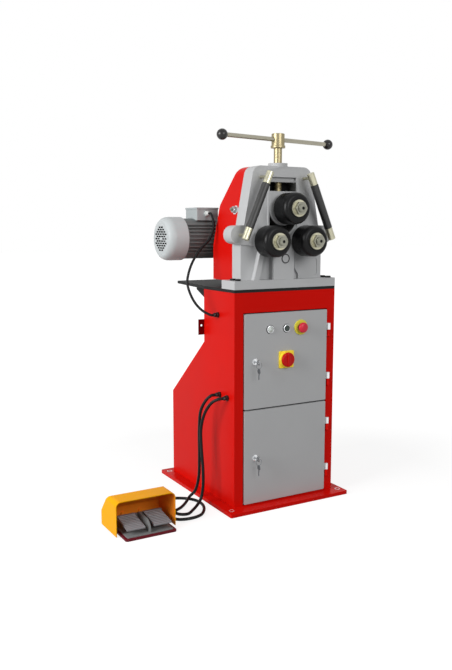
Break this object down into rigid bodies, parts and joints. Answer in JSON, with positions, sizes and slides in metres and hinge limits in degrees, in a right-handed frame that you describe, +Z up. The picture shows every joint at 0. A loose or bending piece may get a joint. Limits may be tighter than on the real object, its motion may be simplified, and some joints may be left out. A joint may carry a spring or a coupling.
{
  "type": "ring roller",
  "caption": "Floor-standing ring roller: driven shafts with rollers in a cast head on a sheet cabinet, a hand-screwed upper roller, leaning side guides, a geared motor and a foot switch.",
  "frame": {"origin": "middle of the base plate's underside, on the floor", "axes": "+Z up, the front with doors and rollers faces -Y, the motor stands on the -X side"},
  "size_m": [1.0269, 0.6883, 1.462],
  "materials": {
    "red_paint": "gloss",
    "dark_plate": "satin",
    "grey_paint": "satin",
    "cast_paint": "satin",
    "black_steel": "satin",
    "zinc_plate": "satin",
    "nickel_plate": "polished",
    "steel": "satin",
    "black_plastic": "satin",
    "red_plastic": "gloss",
    "yellow_plastic": "satin",
    "lamp_lens": "gloss",
    "guard_yellow": "gloss",
    "pedal_grey": "satin",
    "motor_grey": "satin",
    "motor_light": "satin",
    "cable_rubber": "matte",
    "panel_zinc": "satin"
  },
  "bodies": {
    "frame": {"base_plate": "red_paint", "cabinet_shell": "red_paint", "front_frame": "red_paint", "top_plate": "dark_plate", "electrics_panel": "panel_zinc", "head_casting": "cast_paint", "gear_cover": "red_paint", "gearbox": "motor_grey", "motor_body": "motor_grey", "fan_cover": "motor_light", "terminal_box": "motor_grey", "left_guide_frame": "zinc_plate", "right_guide_frame": "zinc_plate", "left_flange_bolts": "black_steel", "right_flange_bolts": "black_steel", "left_cover_bolt": "zinc_plate", "right_cover_bolt": "zinc_plate", "motor_cable_gland": "black_plastic", "left_pedal_gland": "black_plastic", "right_pedal_gland": "black_plastic", "motor_cable": "cable_rubber", "left_pedal_cable": "cable_rubber", "right_pedal_cable": "cable_rubber", "pedal_base": "pedal_grey", "pedal_guard": "guard_yellow"},
    "upper_door": {"upper_door": "grey_paint", "upper_lock": "nickel_plate", "pilot_lamp": "lamp_lens", "start_bezel": "steel", "stop_collar": "yellow_plastic", "switch_plate": "yellow_plastic"},
    "lower_door": {"lower_door": "grey_paint", "lower_lock": "nickel_plate"},
    "upper_key": {"upper_key": "steel"},
    "lower_key": {"lower_key": "steel"},
    "start_button": {"start_button": "black_plastic"},
    "stop_button": {"stop_button": "red_plastic"},
    "switch_knob": {"switch_knob": "red_plastic"},
    "slide": {"slide_block": "cast_paint"},
    "press_screw": {"press_screw": "zinc_plate", "tommy_bar": "nickel_plate", "left_ball_knob": "black_plastic", "right_ball_knob": "black_plastic"},
    "top_roller": {"top_roller": "black_steel", "top_shaft": "steel", "top_nut": "zinc_plate"},
    "left_roller": {"left_roller": "black_steel", "left_shaft": "steel", "left_nut": "zinc_plate", "left_drive_gear": "steel"},
    "right_roller": {"right_roller": "black_steel", "right_shaft": "steel", "right_nut": "zinc_plate", "right_drive_gear": "steel"},
    "pinion": {"drive_pinion": "steel"},
    "fan": {"cooling_fan": "black_plastic"},
    "left_guide_roller": {"left_guide_roller": "black_steel"},
    "right_guide_roller": {"right_guide_roller": "black_steel"},
    "left_pedal": {"left_pedal": "pedal_grey"},
    "right_pedal": {"right_pedal": "pedal_grey"}
  },
  "joints": [
    {"name": "upper_door_hinge", "type": "hinge", "parent": "frame", "child": "upper_door", "pos_m": [0.2046, -0.269, 0.605], "axis": [0, 0, 1], "range_deg": [0, 110]},
    {"name": "lower_door_hinge", "type": "hinge", "parent": "frame", "child": "lower_door", "pos_m": [0.2046, -0.269, 0.217], "axis": [0, 0, 1], "range_deg": [0, 110]},
    {"name": "upper_key_turn", "type": "hinge", "parent": "upper_door", "child": "upper_key", "pos_m": [-0.146, -0.268, 0.589], "axis": [0, 1, 0], "range_deg": [0, 90]},
    {"name": "lower_key_turn", "type": "hinge", "parent": "lower_door", "child": "lower_key", "pos_m": [-0.144, -0.268, 0.207], "axis": [0, 1, 0], "range_deg": [0, 90]},
    {"name": "start_button_press", "type": "slide", "parent": "upper_door", "child": "start_button", "axis": [0, 1, 0], "range_m": [0, 0.003], "stiffness_N_per_m": 600, "springref_m": -0.003},
    {"name": "stop_button_press", "type": "slide", "parent": "upper_door", "child": "stop_button", "axis": [0, 1, 0], "range_m": [0, 0.005]},
    {"name": "switch_knob_turn", "type": "hinge", "parent": "upper_door", "child": "switch_knob", "pos_m": [-0.003, -0.268, 0.588], "axis": [0, 1, 0], "range_deg": [0, 90]},
    {"name": "slide_travel", "type": "slide", "parent": "frame", "child": "slide", "axis": [0, 0, 1], "range_m": [-0.036, 0.01]},
    {"name": "screw_turn", "type": "hinge", "parent": "slide", "child": "press_screw", "pos_m": [0, -0.193, 1.4], "axis": [0, 0, 1], "range_deg": [-1860, 520]},
    {"name": "top_roller_spin", "type": "hinge", "parent": "slide", "child": "top_roller", "pos_m": [0, -0.3, 1.174], "axis": [0, 1, 0], "continuous": true},
    {"name": "left_roller_spin", "type": "hinge", "parent": "frame", "child": "left_roller", "pos_m": [-0.085, -0.3, 1.0505], "axis": [0, 1, 0], "continuous": true},
    {"name": "right_roller_spin", "type": "hinge", "parent": "frame", "child": "right_roller", "pos_m": [0.085, -0.3, 1.0505], "axis": [0, 1, 0], "continuous": true},
    {"name": "pinion_spin", "type": "hinge", "parent": "frame", "child": "pinion", "pos_m": [0, -0.135, 0.99412], "axis": [0, 1, 0], "continuous": true},
    {"name": "fan_spin", "type": "hinge", "parent": "frame", "child": "fan", "pos_m": [-0.342, 0.098, 1.05712], "axis": [1, 0, 0], "continuous": true},
    {"name": "left_guide_spin", "type": "hinge", "parent": "frame", "child": "left_guide_roller", "pos_m": [-0.1465, -0.283, 1.183], "axis": [0.3995, 0, 0.9167], "continuous": true},
    {"name": "right_guide_spin", "type": "hinge", "parent": "frame", "child": "right_guide_roller", "pos_m": [0.1465, -0.283, 1.183], "axis": [-0.3995, 0, 0.9167], "continuous": true},
    {"name": "left_pedal_press", "type": "hinge", "parent": "frame", "child": "left_pedal", "pos_m": [-0.665, -0.196, 0.04], "axis": [1, 0, 0], "range_deg": [0, 6], "stiffness_Nm_per_rad": 10, "springref_deg": -8.59},
    {"name": "right_pedal_press", "type": "hinge", "parent": "frame", "child": "right_pedal", "pos_m": [-0.561, -0.196, 0.04], "axis": [1, 0, 0], "range_deg": [0, 6], "stiffness_Nm_per_rad": 10, "springref_deg": -8.59}
  ],
  "couplings": [
    {"joint": "right_roller_spin", "follows": "left_roller_spin", "ratio": 1},
    {"joint": "pinion_spin", "follows": "left_roller_spin", "ratio": -2.4},
    {"joint": "fan_spin", "follows": "left_roller_spin", "ratio": 144},
    {"joint": "screw_turn", "follows": "slide_travel", "rad_per_m": 897.6}
  ]
}
